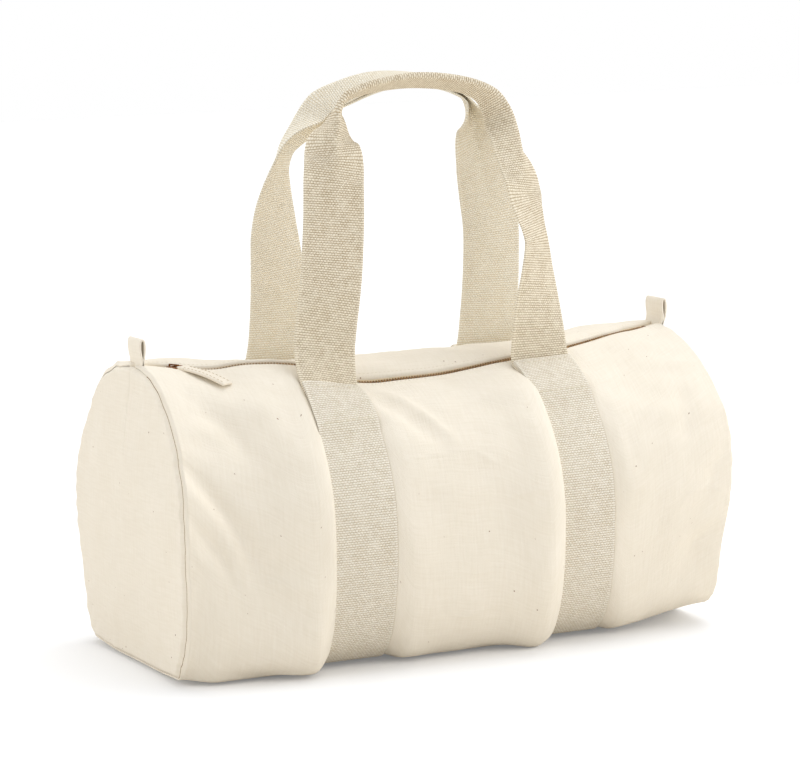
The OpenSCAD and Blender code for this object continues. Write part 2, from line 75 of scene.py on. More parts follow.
class Finish:
    """A new material, with short ways to set its shader and to add the nodes that feed it. An input is
    given as a value or as the output that feeds it, and its name has _ for each space."""

    def __init__(self, name, **inputs):
        self.material = bpy.data.materials.new(name)
        self.material.use_nodes = True
        self.nodes, self.link = self.material.node_tree.nodes, self.material.node_tree.links.new
        self.shader = self.nodes["Principled BSDF"]
        self.feed(self.shader, **inputs)

    def put(self, socket, value):
        if isinstance(value, bpy.types.NodeSocket):
            self.link(value, socket)
        else:
            socket.default_value = value

    def feed(self, node, **inputs):
        for name, value in inputs.items():
            self.put(node.inputs[name.replace("_", " ")], value)

    def add(self, kind, **inputs):
        node = self.nodes.new("ShaderNode" + kind)
        self.feed(node, **inputs)
        return node

    def noise(self, source, scale, detail=2.0):
        return self.add("TexNoise", Vector=source, Scale=scale, Detail=detail).outputs["Fac"]

    def work(self, operation, a, b=0.0, clamp=False):
        """Output of a sum, product or other operation on one or two numbers."""
        node = self.nodes.new("ShaderNodeMath")
        node.operation, node.use_clamp = operation, clamp
        for socket, value in zip(node.inputs, (a, b)):
            self.put(socket, value)
        return node.outputs["Value"]

    def mix(self, share, low, high, kind="RGBA"):
        node = self.nodes.new("ShaderNodeMix")
        node.data_type = kind
        self.feed(node, Factor=share, A=low, B=high)
        return node.outputs["Result"]

    def ramp(self, source, *marks):
        """Output of a colour scale with two marks, each a place and a colour."""
        node = self.add("ValToRGB", Fac=source)
        for element, (place, colour) in zip(node.color_ramp.elements, marks):
            element.position, element.color = place, colour
        return node.outputs["Color"]

    def relief(self, height, strength, distance):
        bump = self.add("Bump", Strength=strength, Distance=distance, Height=height)
        self.feed(self.shader, Normal=bump.outputs["Normal"])

    def solid_place(self):
        return self.add("TexCoord").outputs["Object"]

    def flat_place(self):
        """Place on the flat cloth, in mm."""
        node = self.nodes.new("ShaderNodeUVMap")
        node.uv_map = "flat"
        return node.outputs["UV"]


def linear(red, green, blue):
    """A colour written as it looks on a screen, 0 to 255, as the shader wants it."""
    return tuple(((c / 255 + 0.055) / 1.055) ** 2.4 if c > 10 else c / 255 / 12.92
                 for c in (red, green, blue)) + (1,)


floor_half = 9
floor_tone, seen_tone, seen_glow = (0.84, 0.81, 0.76, 1), (0.90, 0.91, 0.93, 1), 0.16
paper = Finish("studio_floor", Base_Color=floor_tone, Roughness=1, Specular_IOR_Level=0)
seen = paper.add("BsdfDiffuse", Color=seen_tone)
glow = paper.add("Emission", Strength=seen_glow)
seen_floor = paper.add("AddShader")
paper.link(seen.outputs["BSDF"], seen_floor.inputs[0])
paper.link(glow.outputs["Emission"], seen_floor.inputs[1])
either = paper.add("MixShader", Fac=paper.add("LightPath").outputs["Is Camera Ray"])
paper.link(paper.shader.outputs["BSDF"], either.inputs[1])
paper.link(seen_floor.outputs["Shader"], either.inputs[2])
paper.link(either.outputs["Shader"], paper.nodes["Material Output"].inputs["Surface"])
floor_mesh = bpy.data.meshes.new("studio_floor")
floor_mesh.from_pydata([(-floor_half, -floor_half, 0), (floor_half, -floor_half, 0),
                        (floor_half, floor_half, 0), (-floor_half, floor_half, 0)], [], [(0, 1, 2, 3)])
floor_mesh.materials.append(paper.material)
floor = bpy.data.objects.new("studio_floor", floor_mesh)
bpy.context.scene.collection.objects.link(floor)

sky_strength = 0.51
sky = bpy.data.worlds.new("studio_sky")
bpy.context.scene.world = sky
sky.use_nodes = True
made, link = sky.node_tree.nodes, sky.node_tree.links.new
sky_seen = made.new("ShaderNodeBackground")
for background, strength in ((made["Background"], sky_strength), (sky_seen, 1.0)):
    background.inputs["Color"].default_value = (1, 1, 1, 1)
    background.inputs["Strength"].default_value = strength
either = made.new("ShaderNodeMixShader")
link(made.new("ShaderNodeLightPath").outputs["Is Camera Ray"], either.inputs["Fac"])
link(made["Background"].outputs["Background"], either.inputs[1])
link(sky_seen.outputs["Background"], either.inputs[2])
link(either.outputs["Shader"], made["World Output"].inputs["Surface"])


def hang(lamp, aim):
    """A lamp's object, turned so that it shines along aim."""
    holder = bpy.data.objects.new(lamp.name, lamp)
    bpy.context.scene.collection.objects.link(holder)
    holder.rotation_euler = aim.to_track_quat("-Z", "Y").to_euler()
    return holder


# Far lamps: strength, spread in degrees and aim
for name, strength, spread, aim in (("side_lamp", 1.14, 75, (0.95, -0.14, -0.24)),
                                    ("right_lamp", 0.95, 60, (-0.90, 0.20, -0.30)),
                                    ("top_lamp", 1.36, 50, (-0.28, -0.22, -1))):
    lamp = bpy.data.lights.new(name, "SUN")
    lamp.energy, lamp.angle = strength, math.radians(spread)
    hang(lamp, Vector(aim))
lamp_place, lamp_target = Vector((0.62, -0.98, 0.40)), Vector((0.02, -0.10, 0.12))
lamp = bpy.data.lights.new("front_lamp", "AREA")
lamp.energy, lamp.size = 2.1, 0.8
holder = hang(lamp, lamp_target - lamp_place)
holder.location = lamp_place
holder.visible_camera = False

# Body
# One sheet of natural cotton canvas, wrapped from the rear edge of the zip under the base to the front
# edge and hemmed along both. It sags at the top, swells between the straps and keeps soft dents.
bag_length, bag_width, bag_height = 450, 250, 230
base_width, widest_height, side_swell = 172, 108, 4
canvas = 1.2
zip_bow, zip_sag, zip_opening = 45, 16, 10.8
base_z = 2.2
strap_out = 92
zip_lean = math.atan(zip_sag / zip_bow)
arc_rise = math.hypot(zip_sag, zip_bow)
arc_radius = (bag_length ** 2 / 4 + arc_rise ** 2) / (2 * arc_rise)
arc_back = arc_radius - arc_rise
bag_middle = base_z + bag_height / 2


def arc_reach(x):
    return np.sqrt(arc_radius ** 2 - x ** 2) - arc_back


def zip_y(x):
    return -math.cos(zip_lean) * arc_reach(x)


def zip_height(x):
    return bag_height - math.sin(zip_lean) * arc_reach(x)


def half_width(x):
    return bag_width / 2 + side_swell * (1 - (2 * x / bag_length) ** 2)


def round_mm(x):
    """Length of one unit of place round the upper half, in mm."""
    return half_width(x) * math.pi / 2


def crown(x):
    return (zip_height(x) - widest_height) / np.sqrt(1 - (zip_y(x) / half_width(x)) ** 2)


def place_at(x, y):
    """Place round the bag, 0 at the top, 1 at the widest line, 2 at the base's edge and 3 under it."""
    return np.arcsin(np.clip(y / half_width(x), -1, 1)) * 2 / math.pi


def zip_place(x, over):
    """Place so many mm over from the middle of the zip to the rear."""
    lean = np.arcsin(-zip_y(x) / half_width(x))
    face_lean = np.arctan2(crown(x) * np.sin(lean), half_width(x) * np.cos(lean))
    return place_at(x, zip_y(x) + over * np.cos(face_lean))


def ripple(p, size, seed, count=12):
    """Smooth random swell of about one unit, with waves of about this size in mm."""
    dice = np.random.default_rng(seed)
    total = np.zeros(p.shape[:-1])
    for _ in range(count):
        way = dice.normal(size=3)
        way /= np.linalg.norm(way)
        total += np.sin(p @ way * 2 * math.pi / (size * dice.uniform(0.7, 1.5)) + dice.uniform(0, 6.28))
    return total / math.sqrt(count / 2)


def soft(a, b, v):
    s = np.clip((v - a) / (b - a), 0, 1)
    return s * s * (3 - 2 * s)


def hump(v, reach):
    """1 where v is 0, falling off on both sides."""
    return np.exp(-(v / reach) ** 2)


def plain_wall(x, place):
    """Point of the body's face and its outward direction, before the cloth sags. Rear places are
    positive and front places negative."""
    x, place = np.broadcast_arrays(np.asarray(x, float), np.asarray(place, float))
    side, m = np.where(place < 0, -1.0, 1.0), np.abs(place)
    a, c, w, b = half_width(x), crown(x), widest_height, base_width / 2
    upper, lower = m * math.pi / 2, (np.clip(m, 1, 2) - 1) * math.pi / 2
    y = np.where(m <= 1, a * np.sin(upper), np.where(m <= 2, b + (a - b) * np.cos(lower), b * (3 - m)))
    z = np.where(m <= 1, w + c * np.cos(upper), np.where(m <= 2, w - w * np.sin(lower), 0))
    ny = np.where(m <= 1, c * np.sin(upper), np.where(m <= 2, w * np.cos(lower), 0))
    nz = np.where(m <= 1, a * np.cos(upper), np.where(m <= 2, -(a - b) * np.sin(lower), -1))
    size = np.hypot(ny, nz)
    point = np.stack([x, side * y, base_z + z], -1)
    return point, np.stack([0 * x, side * ny / size, nz / size], -1)


# Soft dents and swells of the body: middle along the bag, middle place, reach along, reach round, tilt
# and depth in mm, where a minus is a dent
body_swells = [
    (-186, -0.74, 40, 0.42, 0.7, -8.5), (-205, -1.25, 44, 0.60, 0.2, -9.0), (-140, -0.95, 18, 0.40, 0.0, 2.2),
    (-184, 0.16, 46, 0.34, 0.0, 6.5), (180, 0.16, 42, 0.34, 0.0, 6.0), (196, -0.55, 30, 0.25, 0.0, 2.5),
    (-150, -0.36, 44, 0.13, 0.0, 4.6), (-140, -1.62, 52, 0.26, 0.0, 6.0), (-20, -0.62, 70, 0.24, 0.1, 2.0),
    (0, -1.45, 56, 0.45, 0.0, 4.2), (52, -1.2, 20, 0.55, 0.0, 4.0), (162, -0.75, 44, 0.40, -0.6, 3.2),
    (165, -1.62, 50, 0.26, 0.0, 4.0), (196, -1.35, 24, 0.25, -0.7, -2.6), (15, 0.12, 90, 0.22, 0.0, 2.8),
    (20, 0.8, 70, 0.4, 0.4, 2.5), (0, 1.5, 60, 0.4, 0.0, 3.8), (-160, 0.9, 45, 0.4, -0.6, -2.8),
    (-165, 1.55, 45, 0.3, 0.0, 4.0), (165, 1.2, 45, 0.3, 0.5, -2.4), (160, 1.6, 45, 0.3, 0.0, 3.0),
]
# Creases of the front: points along each, x and z in mm, then its half width and how far it stands out
creases = [
    (((-222, 172), (-209, 158), (-191, 130), (-178, 102), (-172, 84)), 8.0, -5.4),
    (((-222, 154), (-207, 142), (-193, 120), (-185, 100)), 6.5, 1.8),
    (((-203, 214), (-189, 202), (-177, 190), (-168, 170)), 8.0, -4.2),
    (((-172, 214), (-154, 200), (-142, 176)), 9.0, 2.2),
    (((-225, 134), (-212, 119), (-198, 98), (-192, 78)), 6.0, -3.4),
    (((-222, 106), (-206, 96), (-196, 74)), 7.0, 1.4),
    (((-54, 210), (-38, 198), (-24, 184), (-11, 170)), 3.6, 2.4),
    (((-62, 204), (-42, 186), (-22, 168)), 6.0, -2.2),
    (((18, 196), (34, 178), (40, 150)), 8.0, -0.9),
    (((118, 182), (132, 160), (140, 128)), 7.0, -1.0),
    (((196, 196), (188, 172), (180, 150)), 8.0, -2.0),
    (((222, 150), (206, 128), (200, 104)), 7.0, -1.8),
    (((222, 84), (206, 78), (190, 66)), 6.0, -1.6),
]
# How the canvas stands out beside each strap edge: the edge's place, the side that the canvas is on, how
# many mm it rises, and how many mm it leans over the strap
strap_edges = ((-117, -1, 6.4, 2.4), (-67, 1, 3.0, 1.0), (67, -1, 12.0, 6.0), (117, 1, 3.2, 1.0))
# Height of the zip over or under its even curve along the bag, and the same made soft
zip_rise_marks = np.array([(-225, 0), (-205, 0.2), (-186, 0.4), (-168, 1.6), (-150, 6.8), (-128, 8.6),
                           (-108, 8.2), (-94, 3.0), (-78, -3.5), (-60, -7.4), (-46, -8.0), (-24, -6.2),
                           (10, -5.2), (32, -3.2), (54, -0.8), (76, 0.4), (120, 0.8), (168, 2.2),
                           (188, 1.6), (206, 0.3), (225, 0)], float)
rise_reach = 20
rise_at = np.arange(-245, 246.0)
spread_of_rise = hump(np.arange(-rise_reach, rise_reach + 1), 6.0)
rise_line = np.convolve(np.pad(np.interp(rise_at, *zip_rise_marks.T), rise_reach, mode="edge"),
                        spread_of_rise / spread_of_rise.sum(), mode="valid")


def strap_share(x):
    """1 under a wrap strap, falling to 0 beside it."""
    return sum(1 - soft(24.0, 38.0, np.abs(x - middle)) for middle in (-strap_out, strap_out))


def beside_straps(x, m):
    """How far the canvas stands out beside the straps, and how far it leans over them, in mm."""
    rise, lean = np.zeros(x.shape), np.zeros(x.shape)
    for edge, side, height, over in strap_edges:
        beside = side * (x - edge)
        rise += height * (1 - np.exp(-np.maximum(beside + 0.4, 0) / 2.6)) * hump(np.maximum(beside, 0), 34)
        lean -= side * over * hump(beside, 9) * soft(0.0, 1.0, beside)
    share = soft(0.24, 0.50, m) * (1 - soft(1.7, 2.0, m))
    return rise * share, lean * share


def crease_swell(x, z):
    """How far the front's creases stand out at a point, in mm. Each is deepest halfway along."""
    total = np.zeros(x.shape)
    for line, reach, height in creases:
        nearest, along_line = np.full(x.shape, 1e9), np.zeros(x.shape)
        count = len(line) - 1
        for i in range(count):
            (ax, az), (bx, bz) = line[i], line[i + 1]
            dx, dz = bx - ax, bz - az
            t = np.clip(((x - ax) * dx + (z - az) * dz) / (dx ** 2 + dz ** 2), 0, 1)
            away = np.hypot(x - ax - t * dx, z - az - t * dz)
            closer = away < nearest
            nearest = np.where(closer, away, nearest)
            along_line = np.where(closer, (i + t) / count, along_line)
        total += height * hump(nearest, reach) * np.sqrt(np.sin(math.pi * np.clip(along_line, 0.04, 0.96)))
    return total


gather_depth, gather_pitch, gather_reach = 0.35, 17, 9.0
seam_dip, seam_reach = 2.9, 1.15
strap_press = 1.6


def sag(x, place, point):
    """How far the sewn cloth stands out from the plain wall, in mm."""
    out = np.zeros(x.shape)
    for along, at, reach, round_reach, tilt, depth in body_swells:
        u, v = (x - along) / reach, (place - at) / round_reach
        u, v = u + tilt * v, v - tilt * u * 0.35
        out += depth * np.exp(-(u * u + v * v))
    m = np.abs(place)
    lying = soft(1.8, 2.0, m)
    strapped = strap_share(x)
    out += np.where(place < 0, crease_swell(x, point[..., 2]), 0.0)
    out = out * (1 - 0.92 * strapped * soft(0.3, 0.55, m))
    # uneven cloth: broad waves, fine ones and a few sharp creases, all held down by the straps
    broad = ripple(point, 95, 3) * 1.0
    fine = ripple(point * (1, 1.6, 0.8), 34, 5) * 0.36
    crease = hump(ripple(point * (0.8, 1.2, 1.1), 60, 8), 0.10) * soft(0.3, 1.2, ripple(point, 70, 9))
    out += (broad + fine + crease * 0.8) * (0.15 + 0.85 * (1 - strapped)) * (1 - lying)
    # small gathers near the end seams, and the dip of the seams themselves
    end = bag_length / 2 - np.abs(x)
    round_about = np.minimum(m, 2) * 150
    gather = np.sin(round_about * 2 * math.pi / gather_pitch + 2.2 * np.sin(round_about / 23.0) + x * 0.02)
    out += gather_depth * gather * np.exp(-end / gather_reach) * (1 - lying)
    out -= seam_dip * hump(end, seam_reach) * (1 - lying)
    # pressed in under the straps and out beside them
    out -= strap_press * strapped * soft(0.35, 0.7, m) * (1 - lying)
    out += beside_straps(x, m)[0] * np.where(place < 0, 1.0, 0.6)
    # nearly flat beside the zip and under its pull tab
    front_gap = zip_y(x) - point[..., 1]
    on_top = m < 1
    at_zip = hump(front_gap, 11.0) * on_top
    under_pull = np.exp(-((x + 182) / 30) ** 2 - ((front_gap - 22) / 26) ** 2) * (place < 0) * on_top
    out *= (1 - 0.93 * at_zip) * (1 - 0.96 * under_pull)
    # the canvas beside the zip follows its rise and fall, further at the front than at the rear
    rise = np.interp(x, rise_at, rise_line)
    raised = np.where(front_gap > 0, hump(np.maximum(front_gap - 3, 0), 34),
                      hump(np.maximum(-front_gap - 3, 0), 16))
    lowered = np.where(front_gap > 0, hump(np.maximum(front_gap - 8, 0), 22),
                       hump(np.maximum(-front_gap, 0), 9))
    rise = rise * np.where(rise > 0, raised, lowered) * on_top
    return np.where(lying >= 1, 0.0, out * (1 - lying)) + rise


def drift(point):
    """The bag slumps: its left end leans out and its right end in at the foot, the front bellies out
    low down, and the base curls up a little at both ends and beside the straps."""
    x, y, z = point[..., 0], point[..., 1], point[..., 2] - base_z
    low = np.clip(1 - z / 120, 0, 1) ** 1.3
    flare, tuck = soft(70, 225, -x), soft(120, 225, x)
    edge = soft(38, 92, np.abs(y)) * np.clip(1 - z / 70, 0, 1)
    lift = 12.0 * tuck + 3.6 * strap_share(x) + 2.5 * soft(198, 225, -x)
    slew = -7.5 * soft(-60, 110, y) * flare
    waist = (2.5 * hump(z - 160, 30) - 5.5 * hump(z - 60, 38)) * tuck
    belly = 12.0 * soft(-224, -200, x) * (1 - soft(-136, -118, x))
    belly += 5.0 * soft(-66, -50, x) * (1 - soft(46, 64, x))
    forward = -belly * np.clip(1 - z / 95, 0, 1) * soft(20, 80, -y)
    bulge = -5.0 * hump(z - 118, 55) * flare
    return np.stack([-5.5 * flare * low - 8.0 * tuck * low + slew + waist + bulge, forward, lift * edge], -1)


def wall(x, place, out=0.0):
    """Point of the sagged body's face, moved outward by so many mm, and its outward direction."""
    point, way = plain_wall(x, place)
    place = np.broadcast_to(place, point.shape[:-1])
    moved = point + way * (sag(point[..., 0], place, point) + out)[..., None]
    moved[..., 0] += beside_straps(point[..., 0], np.abs(place))[1]
    return moved + drift(point), way


def lined_up(vectors):
    """The same directions, each of length 1."""
    return vectors / np.linalg.norm(vectors, axis=-1, keepdims=True)


def run_along(points):
    """Distance along a line of points at each of them."""
    return np.concatenate([[0], np.cumsum(np.linalg.norm(np.diff(points, axis=0), axis=1))])


def new_piece(name, points, faces, material, flat_at=None, smooth=True):
    """A piece from points in mm, with the places on its flat cloth as UV in mm."""
    mesh = bpy.data.meshes.new(name)
    mesh.from_pydata((np.asarray(points).reshape(-1, 3) * mm).tolist(), [], faces)
    if flat_at is not None:
        corners = np.empty(len(mesh.loops), int)
        mesh.loops.foreach_get("vertex_index", corners)
        places = flat_at.reshape(-1, 2)[corners]
        mesh.uv_layers.new(name="flat").data.foreach_set("uv", places.astype(np.float32).ravel())
    mesh.polygons.foreach_set("use_smooth", [smooth] * len(mesh.polygons))
    mesh.materials.append(material)
    piece = bpy.data.objects.new(name, mesh)
    bpy.context.scene.collection.objects.link(piece)
    return piece


def ring_faces(rings, around, base=0, joined=False):
    """Faces between rings of points. The last ring is joined to the first, or both are capped or left."""
    return [(base + i * around + j, base + i * around + (j + 1) % around,
             base + (i + 1) % rings * around + (j + 1) % around, base + (i + 1) % rings * around + j)
            for i in range(rings if joined else rings - 1) for j in range(around)]


def ring_caps(rings, around, base=0):
    return [tuple(base + j for j in reversed(range(around))),
            tuple(base + (rings - 1) * around + j for j in range(around))]


def flat_grid(u, v):
    """Places in mm on the flat cloth, from the place one way and the other at each point."""
    return np.stack(np.broadcast_arrays(u, v), -1)


def lay_cloth(name, grid, flat_at, material, thick, outward):
    """A sheet through a grid of points in mm, with its flat places in mm and a second face the given
    distance inside it."""
    n, m = grid.shape[:2]
    quads = [(i * m + j, i * m + j + 1, (i + 1) * m + j + 1, (i + 1) * m + j)
             for i in range(n - 1) for j in range(m - 1)]
    points = grid.reshape(-1, 3)
    places = flat_at.reshape(-1, 2)
    k = n * m
    points = np.concatenate([points, points - outward.reshape(-1, 3) * thick])
    quads += [tuple(v + k for v in reversed(q)) for q in quads]
    rim = [i * m for i in range(n)] + [(n - 1) * m + j for j in range(1, m)] + \
          [i * m + m - 1 for i in range(n - 2, -1, -1)] + [j for j in range(m - 2, 0, -1)]
    quads += [(rim[i], rim[(i + 1) % len(rim)], rim[(i + 1) % len(rim)] + k, rim[i] + k)
              for i in range(len(rim))]
    return new_piece(name, points, quads, material, np.concatenate([places, places]))


def weld(piece):
    """Joins points that lie on each other, as where a round of cloth closes."""
    shape = bmesh.new()
    shape.from_mesh(piece.data)
    bmesh.ops.remove_doubles(shape, verts=shape.verts, dist=0.00002)
    shape.to_mesh(piece.data)
    shape.free()


def turn_out(piece):
    """Makes the faces of each closed solid in a piece look outward."""
    shape = bmesh.new()
    shape.from_mesh(piece.data)
    bmesh.ops.recalc_face_normals(shape, faces=shape.faces)
    shape.to_mesh(piece.data)
    shape.free()


def face_out(piece, middle):
    """Turns a closed piece's faces so that they look away from its middle."""
    total = sum((f.center - Vector(middle)).dot(f.normal) * f.area for f in piece.data.polygons)
    if total < 0:
        piece.data.flip_normals()


def cotton(name, colour, thread, slub, flecks, bump):
    """Woven cotton: threads both ways with this many mm between them, thicker slubs here and there,
    and small brown flecks of husk."""
    cloth = Finish(name, Roughness=0.92, Specular_IOR_Level=0.18, Sheen_Weight=0.08)
    work, flat = cloth.work, cloth.flat_place()

    def stretched(sx, sy, scale, detail=2.0):
        mapping = cloth.add("Mapping", Scale=(sx, sy, 1), Vector=flat)
        return cloth.noise(mapping.outputs["Vector"], scale, detail)

    split = cloth.add("SeparateXYZ", Vector=flat)
    turn = 2 * math.pi / thread
    warp = work("SINE", work("MULTIPLY", split.outputs["X"], turn))
    weft = work("SINE", work("MULTIPLY", split.outputs["Y"], turn))
    weave = work("MULTIPLY", work("MULTIPLY", warp, weft), 0.5)
    slubs = work("ADD", stretched(0.9 / slub, 0.07 / slub, 1.0), stretched(0.07 / slub, 0.9 / slub, 1.0))
    mottle = stretched(1, 1, 0.02, 3.0)
    tone = work("ADD", work("MULTIPLY", work("SUBTRACT", slubs, 1.0), 0.16),
                work("MULTIPLY", work("SUBTRACT", mottle, 0.5), 0.10))
    tone = work("ADD", tone, work("MULTIPLY", weave, 0.03))
    pale = tuple(min(1.0, c * 1.05) for c in colour[:3]) + (1,)
    deep = (colour[0] * 0.84, colour[1] * 0.80, colour[2] * 0.71, 1)
    shade = cloth.mix(work("ADD", work("MULTIPLY", tone, 2.2), 0.76, True), deep, pale)
    # flecks are the middles of scattered cells, and a cell's own random colour says how large its fleck is
    cells = cloth.add("TexVoronoi", Scale=flecks, Vector=flat)
    kept = cloth.add("SeparateColor", Color=cells.outputs["Color"])
    limit = work("MULTIPLY", work("SUBTRACT", kept.outputs["Red"], 0.30, True), 0.125)
    fleck = work("MULTIPLY", work("SUBTRACT", limit, cells.outputs["Distance"], True), 40, True)
    husk = cloth.mix(work("MULTIPLY", fleck, 0.75), shade, linear(140, 96, 58))
    cloth.feed(cloth.shader, Base_Color=husk)
    cloth.relief(work("ADD", work("MULTIPLY", weave, 0.5), work("MULTIPLY", slubs, 1.4)), bump, 0.0006)
    return cloth.material


canvas_cotton = cotton("canvas_cotton", linear(247, 240, 227), 0.9, 1.5, 0.11, 0.35)


def spread(*parts):
    """Places in a row, from several stretches given as start, end and number of steps."""
    row = [np.linspace(a, b, n, endpoint=False) for a, b, n in parts]
    return np.concatenate(row + [[parts[-1][1]]])


def hem_gap(x):
    """Distance from the middle of the zip to the hem beside it, which opens at both ends of the zip."""
    return 3.7 + (zip_opening / 2 - 3.7) * soft(182, 190, np.abs(x))


along = spread((-225, -221, 8), (-221, -213, 6), (-213, -122, 38), (-122, -115, 12), (-115, -69, 14),
               (-69, -62, 12), (-62, 60, 50), (60, 69, 16), (69, 115, 14), (115, 122, 12), (122, 213, 38),
               (213, 221, 6), (221, 225, 8))
# The turned edge: how far from the hem's edge and how far out, from its inner end
hem_drop = [(0.25, -2.3), (0.0, -1.4), (0.3, -0.6), (0.9, -0.12), (1.7, 0.05)]
hem_width, hem_rise = 3.2, 0.5
drop = [out for _, out in hem_drop]
sheet_rows = []
for x in along:
    rear, front = zip_place(x, hem_gap(x)), zip_place(x, -hem_gap(x))
    per = round_mm(x)
    first = [rear + gone / per for gone, _ in hem_drop]
    last = [front - gone / per for gone, _ in reversed(hem_drop)]
    inner = spread((rear + hem_width / per, 1, 62), (1, 2, 54), (2, 3, 14))
    outer = spread((-3, -2, 14), (-2, -1, 62), (-1, front - hem_width / per, 82))[1:]
    places = np.concatenate([first, inner, outer, last])
    outs = np.concatenate([drop, np.zeros(len(inner) + len(outer)), drop[::-1]])
    edge = np.minimum(np.abs(places - rear), np.abs(places - front)) * per
    outs = outs + hem_rise * np.exp(-(edge / 7.0) ** 4) * (outs > -0.2)
    sheet_rows.append(wall(x, places, outs))
body_grid, body_ways = np.stack(sheet_rows, axis=1)
steps = np.linalg.norm(np.diff(body_grid, axis=1), axis=2)
gone_round = np.concatenate([np.zeros((len(along), 1)), np.cumsum(steps, axis=1)], axis=1)
body_cloth = lay_cloth("body_cloth", body_grid, flat_grid(along[:, None], gone_round), canvas_cotton,
                       canvas, body_ways)
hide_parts("body_panel")
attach(body_cloth, "bag")

# Hem stitches
# A row of cotton thread through both turned edges of the canvas and the zip's tapes under them.
seam_thread = Finish("seam_thread", Base_Color=linear(240, 231, 212), Roughness=0.8)
seam_thread.relief(seam_thread.noise(seam_thread.solid_place(), 2500), 0.5, 0.0001)
# One stitch as rings: place along it, then width and height as shares of the thread's thickness
stitch_rings = ((0.0, 0.25, -0.30), (0.12, 0.8, 0.05), (0.32, 1.0, 0.30), (0.68, 1.0, 0.30),
                (0.88, 0.8, 0.05), (1.0, 0.25, -0.30))
stitch_turns = np.radians([0, 60, 120, 180, 240, 300])


def stitch_row(name, points, ways, finish, length=2.6, gap=1.1, thick=0.22):
    """A row of stitches along a line of points in mm: each is a small pillow of thread lying on the
    cloth, with both ends drawn into it."""
    points, ways = np.asarray(points, float), np.asarray(ways, float)
    run = run_along(points)
    count = int((run[-1] - length) / (length + gap)) + 1
    margin = (run[-1] - count * (length + gap) + gap) / 2

    def at(gone, values):
        return np.array([np.interp(gone, run, values[:, c]) for c in range(3)])

    verts, faces = [], []
    for i in range(count):
        size = len(stitch_rings), len(stitch_turns), len(verts)
        faces += ring_faces(*size) + ring_caps(*size)
        for t, wide, high in stitch_rings:
            gone = margin + i * (length + gap) + t * length
            here, up = at(gone, points), lined_up(at(gone, ways))
            over = lined_up(np.cross(up, at(gone + 0.3, points) - at(gone - 0.3, points)))
            for angle in stitch_turns:
                verts.append(here + (over * math.cos(angle) + up * math.sin(angle)) * thick * wide
                             + up * thick * high * 1.6)
    row = new_piece(name, verts, faces, finish.material)
    turn_out(row)
    return row


hem_along = np.linspace(-212, 212, 240)
for side, name in ((-1, "front"), (1, "rear")):
    line, line_ways = wall(hem_along, zip_place(hem_along, side * (hem_gap(hem_along) + hem_width)), 0.42)
    row = stitch_row(f"hem_stitches_{name}", line, line_ways, seam_thread, 2.4, 1.0, 0.22)
    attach(row, "bag")

# Round ends
# Two rounds of the same canvas, domed a little by the way they are eased into the body. Their edges are
# turned in and sewn to the body's. A thin brown cord laid in each seam's groove is painted shade: it stands
# in for the dark shadow line between the cloths.
end_dome, seam_allowance, end_gathers = 9, 10, 44
edge_swell, edge_share = 2.0, 0.978
# Painted shade: a dark brown cord that stands in for the shadow line in each end seam's groove
shadow_line_thickness, shadow_line_inset = 1.1, 0.35
seam_shadow_line = Finish("seam_shadow_line", Roughness=0.9)
ply = seam_shadow_line.noise(seam_shadow_line.solid_place(), 1400)
seam_shadow_line.feed(seam_shadow_line.shader, Base_Color=seam_shadow_line.ramp(ply, (0, linear(136, 108, 74)),
                                                              (1, linear(172, 146, 108))))
rim_places = spread((0, 1, 60), (1, 2, 50), (2, 3, 16))[:-1]
rim_places = np.concatenate([rim_places, spread((-3, -2, 16), (-2, -1, 50), (-1, 0, 60))])
# The painted shadow line lies nearest the face down the front, deeper elsewhere and deepest under the loop
# tabs
shadow_line_depth = 1.7 + 1.3 * (1 - soft(-2.05, -1.95, rim_places) * (1 - soft(-0.16, -0.06, rim_places)))
shadow_line_depth += 3.2 * (1 - soft(0.11, 0.16, np.abs(rim_places)))
shadow_line_turns = np.radians(np.arange(0, 360, 45))[None, :, None]


def round_line(x, out):
    """The body's face all round at one place along the bag, moved outward by so many mm."""
    return wall(x, rim_places, out)[0]


